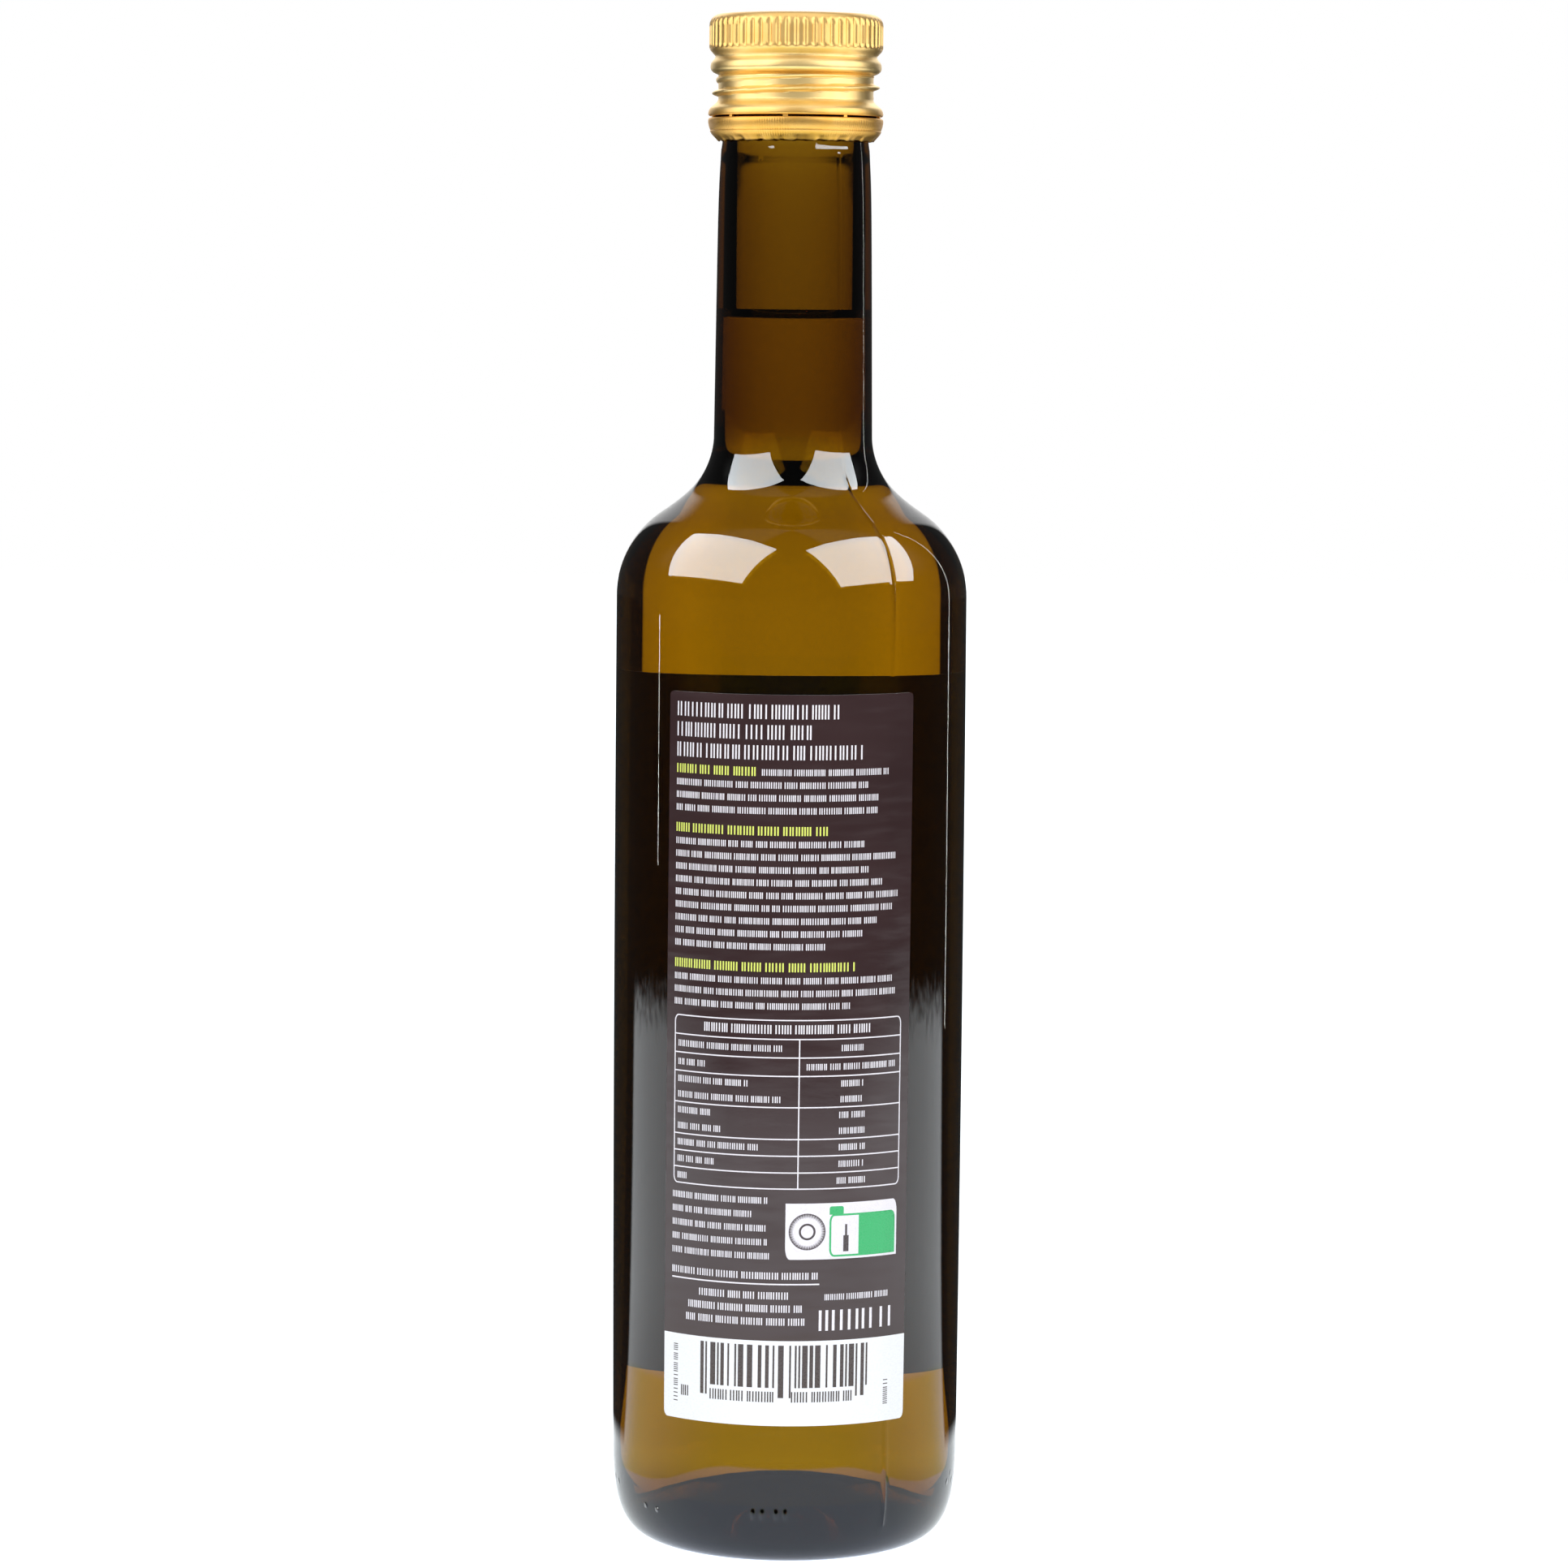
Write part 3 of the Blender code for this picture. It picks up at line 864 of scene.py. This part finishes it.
def ringMark(x, y, radius, width):
    ring = cutDisc(x, y, radius)
    editOnly(ring)
    middle = Vector((x, y, 0)) * mm
    pick(ring, "FACE", lambda places: sum(((place - middle).length for place in places)) / len(places)
         < (radius - width) * mm)
    bpy.ops.mesh.delete(type="FACE")
    bpy.ops.object.mode_set(mode="OBJECT")
    return ring


def darkPrint(pen):
    # on the white panel and strip: a ring, rows of dashes and plain bars that code nothing
    p = backPrint
    unit = p["barUnit"]
    boxes = []
    x = p["barsLeft"]
    bars = 0
    while x < p["barsRight"]:
        width = unit * pen.choice((1, 1, 2, 3))
        guard = bars in (0, 1, 12, 13, 24, 25)
        boxes.append((x, p["guardBottom"] if guard else p["barsBottom"], x + width, p["barsTop"]))
        x += width + unit * pen.choice((1, 1, 2, 3))
        bars += 1
    for left, width in ((-19.6, 1.6), (-13.6, 12.0), (1.4, 12.0)):
        boxes += dashRow(left, 30.6, width, 1.9, 0.24, pen)
    for x, bottom, top in ((-21.3, 29.4, 39.8), (18.9, 29.4, 34.0)):
        height = bottom
        while height < top:
            boxes.append((x, height, x + 0.95, height + 0.16))
            height += pen.choice((0.36, 0.36, 0.36, 0.7))
    flask = p["boxLeft"] + 2.6
    boxes += [(flask, 57.7, flask + 1.0, 60.6), (flask + 0.3, 60.6, flask + 0.7, 62.6)]
    ring = ringMark(p["ringX"], p["ringY"], p["ringRadius"], p["ringWidth"])
    return joined([marks(boxes), ring, ringMark(p["ringX"], p["ringY"], 1.5, p["ringWidth"])])


def bareEdges(sheet):
    # the cut edge of a label shows the paper's own white
    for face in sheet.data.polygons:
        outward = Vector((face.center.x, face.center.y, 0)).normalized()
        if abs(face.normal.dot(outward)) < 0.5:
            face.material_index = 1


def makeBackLabel(varnish, bare, inks):
    s = labelShape
    pen = random.Random(5)
    half = s["backHalfWidth"]
    sheet = cutSheet(-half, half, s["bottom"], s["top"],
                     (s["bottomCorner"], s["bottomCorner"], s["topCorner"], s["topCorner"]))
    editOnly(sheet)
    bpy.ops.mesh.select_all(action="SELECT")
    bpy.ops.mesh.bisect(plane_co=(0, s["backFold"] * mm, 0), plane_no=(0, 1, 0))
    bpy.ops.object.mode_set(mode="OBJECT")
    for face in sheet.data.polygons:
        face.material_index = 1 if face.center.y < s["backFold"] * mm else 0
    total = s["sink"] + s["thickness"]
    wrapped(sheet, -s["sink"], total, s["backAzimuth"], s["backLean"])
    bareEdges(sheet)
    handOver(sheet, "backLabelPaper", "back_label", [varnish, bare], 40)
    top = s["thickness"] - s["inkSink"]
    layers = (
        ("backPrintWhite", whitePrint(pen), 0), ("backPrintYellow", yellowPrint(pen), 0),
        ("backPrintGreen", greenPrint(), 1), ("backPrintDark", darkPrint(pen), 1),
    )
    for name, flat, layer in layers:
        lift = top + layer * 0.010
        wrapped(flat, lift, s["inkThickness"], s["backAzimuth"], s["backLean"])
        handOver(flat, name, "back_label", [inks[name]], 40)


def makeFrontLabel(varnish, bare, inks):
    # hidden in the photograph, so it is finished with a plain frame, an empty oval and two rules
    s = labelShape
    half = math.radians(s["frontHalfTurn"]) * bottleShape["bellyRadius"]
    sheet = cutSheet(-half, half, s["bottom"], s["top"],
                     (s["bottomCorner"], s["bottomCorner"], s["topCorner"], s["topCorner"]))
    total = s["sink"] + s["thickness"]
    wrapped(sheet, -s["sink"], total, s["frontAzimuth"], 0)
    bareEdges(sheet)
    handOver(sheet, "frontLabelPaper", "front_label", [varnish, bare], 40)
    frameLine = cutFrame(-half + 3, half - 3, s["bottom"] + 3, s["top"] - 3, 2.5, 0.5)
    oval = cutRing(0, 0, 17, 1.0)
    move(oval, lambda place: Vector((place.x * 1.25, place.y * 0.9 + 108 * mm, 0)))
    rules = marks([(-20, 78, 20, 78.6), (-14, 74.5, 14, 75.0), (-20, 46, 20, 46.6)])
    print("front marks laid out")
    ink = joined([frameLine, rules, oval])
    wrapped(ink, s["thickness"] - s["inkSink"], s["inkThickness"], s["frontAzimuth"], 0)
    handOver(ink, "frontPrintYellow", "front_label", [inks["backPrintYellow"]], 40)


def varnishMaterial():
    material, board = newMaterial("darkViolaceousVarnish")
    place = board.place()
    pebble = board.noise(place, 1500, 2)
    streaks = board.noise(board.stretched(place, (1, 1, 6)), 120, 3)
    clouds = board.noise(place, 45, 2)
    colour = board.blend(clouds.ramp(0.35, 0.7) * 0.5, linear(57, 41, 42), linear(66, 49, 50))
    shader = board.node("BsdfPrincipled", values={
        "Base Color": colour, "Roughness": 0.10 + streaks.ramp(0.3, 0.8) * 0.14, "IOR": 1.5,
        "Normal": board.bump(pebble * 0.6 + streaks * 0.4, 0.25, 0.02 * mm)})
    board.finish(shader)
    return material


def paperMaterial():
    material, board = newMaterial("bareWhitePaper")
    place = board.place()
    fibre = board.noise(board.stretched(place, (1, 1, 1.6)), 2400, 3)
    colour = board.blend(fibre.ramp(0.3, 0.8), linear(240, 241, 243), linear(232, 233, 236))
    shader = board.node("BsdfPrincipled", values={
        "Base Color": colour, "Roughness": 0.32 + fibre * 0.1, "IOR": 1.48,
        "Normal": board.bump(fibre, 0.2, 0.01 * mm)})
    board.finish(shader)
    return material


def inkMaterial(name, colour, fleck):
    material, board = newMaterial(name)
    place = board.place()
    grain = board.noise(place, 2600, 2)
    shader = board.node("BsdfPrincipled", values={
        "Base Color": board.blend(grain.ramp(0.45, 0.8) * 0.6, colour, fleck),
        "Roughness": 0.22 + grain * 0.12, "IOR": 1.48,
        "Normal": board.bump(grain, 0.2, 0.006 * mm)})
    board.finish(shader)
    return material


labelInks = {
    "backPrintWhite": inkMaterial("whiteInk", linear(236, 232, 238), linear(214, 208, 216)),
    "backPrintYellow": inkMaterial("yellowGreenInk", linear(222, 232, 110), linear(205, 214, 92)),
    "backPrintGreen": inkMaterial("greenInk", linear(58, 180, 110), linear(50, 164, 98)),
    "backPrintDark": inkMaterial("darkInk", linear(75, 65, 68), linear(62, 52, 56)),
}
varnish = varnishMaterial()
bare = paperMaterial()
makeBackLabel(varnish, bare, labelInks)
makeFrontLabel(varnish, bare, labelInks)


# Studio

studio = {
    "floorFront": -2.0, "floorReach": 3.0, "frontEdge": 0.53, "sideEdge": 0.72, "floorGlow": 2.0,
    "floorNearGlow": 1.45, "paintedGoldRingFront": 0.104, "paintedGoldRingSide": 0.070, "paintedGoldRingTo": 0.168, "shadowReach": 0.066,
    "sideLift": 0.35, "floorHalfTurn": 42.0,
    "backdropHalfTurn": 48.0, "backdropGlow": 1.28, "sideGlow": 0.75, "boxDistance": 2.2,
    "leftBox": ((-93, 17), (-34, 20), (-17, 62), (-118, 48)),
    "rightBox": ((33, 17), (90, 15), (116, 47), (15, 61)), "boxGlow": 11.0,
    "capLamps": (
        ("capLeft", -66, 24, 32, 2.2), ("capRight", 66, 22, 33, 2.2), ("capFront", 0, 14, 7, 2.0),
        ("capTop", 0, 84, 14, 2.0), ("capBack", 180, 16, 15, 2.2),
    ),
    "standDistance": 0.6, "leftStand": (-94, 0.060, 0.142, 0.005, 16.0),
    "rightStand": (124, 0.010, 0.80, 0.004, 12.0),
}

softboxPieces = ("bottleGlass", "oliveOil", "backLabelPaper", "frontLabelPaper", "backPrintWhite",
                 "backPrintYellow", "backPrintGreen", "backPrintDark", "frontPrintYellow")


def lightPath(board, name):
    return board.node("LightPath", result=name)


def shinesOn(light, names):
    # light linking: only the named pieces see this light
    shelf = bpy.data.collections.new(light.name + "Shelf")
    for name in names:
        shelf.objects.link(bpy.data.objects[name])
    light.light_linking.receiver_collection = shelf


def makeFloor():
    s = studio
    clearSelection()
    bpy.ops.mesh.primitive_plane_add(size=2)
    floor = bpy.context.object
    floor.name = "floor"
    move(floor, lambda place: Vector((place.x * s["floorReach"],
                                      s["floorFront"] if place.y < 0 else s["floorReach"], 0)))
    material, board = newMaterial("paleFloor")
    x, y, z = board.axes(board.place())
    distance = (x * x + y * y).math("SQRT")
    turn = board.node("Math", {"operation": "ARCTAN2"}, {0: x, 1: y}).math("ABSOLUTE")
    # gloss meets a table lit from the front and painted dimmer near the bottle as painted shade, with a painted
    # golden ring of light on it that stands in for light the oil throws and that only reflections see
    front = turn.ramp(math.radians(90), math.radians(150))
    edge = s["sideEdge"] + (s["frontEdge"] - s["sideEdge"]) * front
    edge = edge + (board.noise(board.place(), 26, 3) - 0.5) * 0.16
    near = s["floorNearGlow"] + (s["floorGlow"] - s["floorNearGlow"]) * distance.ramp(0.10, 0.30)
    lit = near * (1 - ((distance - edge) / 0.16).ramp(-0.5, 0.5))
    beside = turn.ramp(math.radians(58), math.radians(62)).math("MAXIMUM", 1 - distance.ramp(0.088, 0.110))
    gloss = lightPath(board, "Is Glossy Ray") * (1 - lightPath(board, "Is Transmission Ray"))
    through = lightPath(board, "Is Transmission Ray")
    behind = throughGlow(board, turn, math.radians(s["floorHalfTurn"]))
    # painted shadow: light that has come through the bottle finds the floor dark within this reach of its axis
    behind = behind * distance.ramp(s["shadowReach"], s["shadowReach"] + 0.006)
    behind = behind * (1 + s["sideLift"] * turn.ramp(math.radians(10), math.radians(26)))
    strength = lightPath(board, "Is Camera Ray") * 1.5 + gloss * (lit * beside + 0.03) + through * behind
    strength = strength + lightPath(board, "Is Diffuse Ray") * 1.15
    # the painted golden ring of light, a painted reflection that only gloss rays meet
    paintedGoldRingFrom = s["paintedGoldRingSide"] + (s["paintedGoldRingFront"] - s["paintedGoldRingSide"]) * front
    ring = ((distance - paintedGoldRingFrom) / 0.004).ramp(0, 1) * turn.ramp(math.radians(55), math.radians(80))
    ring = ring * (1 - distance.ramp(s["paintedGoldRingTo"], s["paintedGoldRingTo"] + 0.01)) * gloss
    cool = front * (1 - distance.ramp(0.11, 0.16))
    table = board.blend(cool, (0.92, 0.97, 1.0), (0.86, 0.94, 1.10))
    gold = board.blend(front, (0.84, 0.86, 0.46), (0.72, 0.78, 0.16))
    colour = board.blend(ring, table, gold)
    board.finish(board.node("Emission", values={"Color": colour, "Strength": strength}))
    floor.data.materials.append(material)


def directionTo(azimuth, elevation):
    rise = math.sin(math.radians(elevation))
    flat = math.cos(math.radians(elevation))
    angle = math.radians(azimuth)
    return Vector((flat * math.sin(angle), -flat * math.cos(angle), rise))


def makeSoftbox(name, corners, glow):
    # seen only in reflections and through the glass
    target = Vector((0, 0, 0.19))
    clearSelection()
    bpy.ops.mesh.primitive_plane_add(size=1)
    box = bpy.context.object
    box.name = name
    order = (0, 1, 3, 2)
    for corner, number in zip(box.data.vertices, order):
        corner.co = target + directionTo(*corners[number]) * studio["boxDistance"]
    material, board = newMaterial(name + "Cloth")
    innerBounce = lightPath(board, "Is Transmission Ray") * (lightPath(board, "Transmission Depth") < 2.5)
    board.finish(board.node("Emission", values={"Color": (0.92, 0.97, 1.0),
                                                "Strength": glow * (1 - innerBounce * 0.9)}))
    box.data.materials.append(material)
    box.visible_camera = False
    box.visible_diffuse = False
    shinesOn(box, softboxPieces)


def makeStand(name, azimuth, bottom, top, width, glow):
    # the lit edge of a light stand, which draws a thin line down the side of the bottle
    clearSelection()
    bpy.ops.mesh.primitive_plane_add(size=1)
    stand = bpy.context.object
    stand.name = name
    side = directionTo(azimuth + 90, 0) * width / 2
    foot = directionTo(azimuth, 0) * studio["standDistance"]
    for corner in stand.data.vertices:
        height = bottom if corner.co.y < 0 else top
        corner.co = foot + (side if corner.co.x > 0 else -side) + Vector((0, 0, height))
    material, board = newMaterial(name + "Edge")
    board.finish(board.node("Emission", values={"Color": (0.95, 1.0, 0.97), "Strength": glow}))
    stand.data.materials.append(material)
    stand.visible_camera = False
    stand.visible_diffuse = False
    stand.visible_transmission = False
    shinesOn(stand, ("bottleGlass",))


def makeLamp(name, azimuth, elevation, power, size):
    # lights paper and ink without adding a second reflection
    lamp = bpy.data.lights.new(name, "AREA")
    lamp.energy = power
    lamp.size = size
    holder = bpy.data.objects.new(name, lamp)
    bpy.context.collection.objects.link(holder)
    place = directionTo(azimuth, elevation) * 1.6 + Vector((0, 0, 0.15))
    aim = (Vector((0, 0, 0.13)) - place).to_track_quat("-Z", "Y").to_matrix().to_4x4()
    holder.matrix_world = Matrix.Translation(place) @ aim
    holder.visible_glossy = False
    holder.visible_transmission = False
    holder.visible_camera = False
    return holder


def throughGlow(board, turn, half):
    # what light sees that has come through the bottle: a white sheet behind, dark wings beside
    # it and more white further round. Light that turned back in the neck's wall sees less of it
    sheet = (1 - turn.ramp(half, half + 0.03)) * studio["backdropGlow"]
    further = turn.ramp(math.radians(95), math.radians(110)) * studio["sideGlow"]
    slit = (1 - turn.ramp(math.radians(10), math.radians(20))) * studio["backdropGlow"]
    deep = lightPath(board, "Transmission Depth") > 2.5
    return deep * (sheet + further) + (1 - deep) * slit


def makeWorld():
    world = bpy.data.worlds.new("studioWorld")
    bpy.context.scene.world = world
    board = Board(world)
    x, y, z = board.axes(board.node("TexCoord", result="Generated"))
    turn = board.node("Math", {"operation": "ARCTAN2"}, {0: x, 1: y}).math("ABSOLUTE")
    elevation = z.math("ARCSINE")
    # gloss meets the white sheet only above the table, between wings that open upwards
    edge = math.radians(8) + (elevation + math.radians(2)) * 0.7
    wedge = (edge - turn).ramp(0, 0.05) * elevation.ramp(math.radians(-3), math.radians(-1))
    wedge = wedge * (1 - elevation.ramp(math.radians(26), math.radians(40)))
    through = lightPath(board, "Is Transmission Ray")
    flank = turn.ramp(math.radians(60), math.radians(80)) * (1 - turn.ramp(math.radians(130), math.radians(145)))
    flank = flank * elevation.ramp(math.radians(15), math.radians(35))
    gloss = lightPath(board, "Is Glossy Ray") * (1 - through) * (wedge * 0.9 + flank * 0.22 + 0.045)
    low = 1 - elevation.ramp(math.radians(2.6), math.radians(4.2))
    behind = throughGlow(board, turn, math.radians(studio["backdropHalfTurn"])) * low
    strength = lightPath(board, "Is Camera Ray") + gloss + through * behind
    strength = strength + lightPath(board, "Is Diffuse Ray") * 0.30
    sky = board.node("Background", values={"Color": (1.0, 1.0, 1.0), "Strength": strength})
    board.node("OutputWorld", values={"Surface": sky})


def makeCamera():
    camera = bpy.data.cameras.new("camera")
    camera.lens = 119.74
    camera.sensor_width = 36.0
    holder = bpy.data.objects.new("camera", camera)
    bpy.context.collection.objects.link(holder)
    tilt = Matrix.Rotation(math.radians(90 - 5.63), 4, "X")
    roll = Matrix.Rotation(math.radians(0.487), 4, "Z")
    holder.matrix_world = Matrix.Translation((-0.00109, -0.9452, 0.23133)) @ tilt @ roll
    bpy.context.scene.camera = holder


makeFloor()
makeSoftbox("leftSoftbox", studio["leftBox"], studio["boxGlow"])
makeSoftbox("rightSoftbox", studio["rightBox"], studio["boxGlow"])
makeLamp("leftLamp", -50, 30, 17.0, 1.0)
makeLamp("rightLamp", 50, 30, 18.0, 1.0)
for name, azimuth, elevation, power, size in studio["capLamps"]:
    lamp = makeLamp(name, azimuth, elevation, power, size)
    lamp.visible_glossy = True
    shinesOn(lamp, ("screwCap",))
makeStand("leftStand", *studio["leftStand"])
makeStand("rightStand", *studio["rightStand"])
makeWorld()
makeCamera()
bpy.context.scene.view_settings.view_transform = "Standard"
print("studio ready")
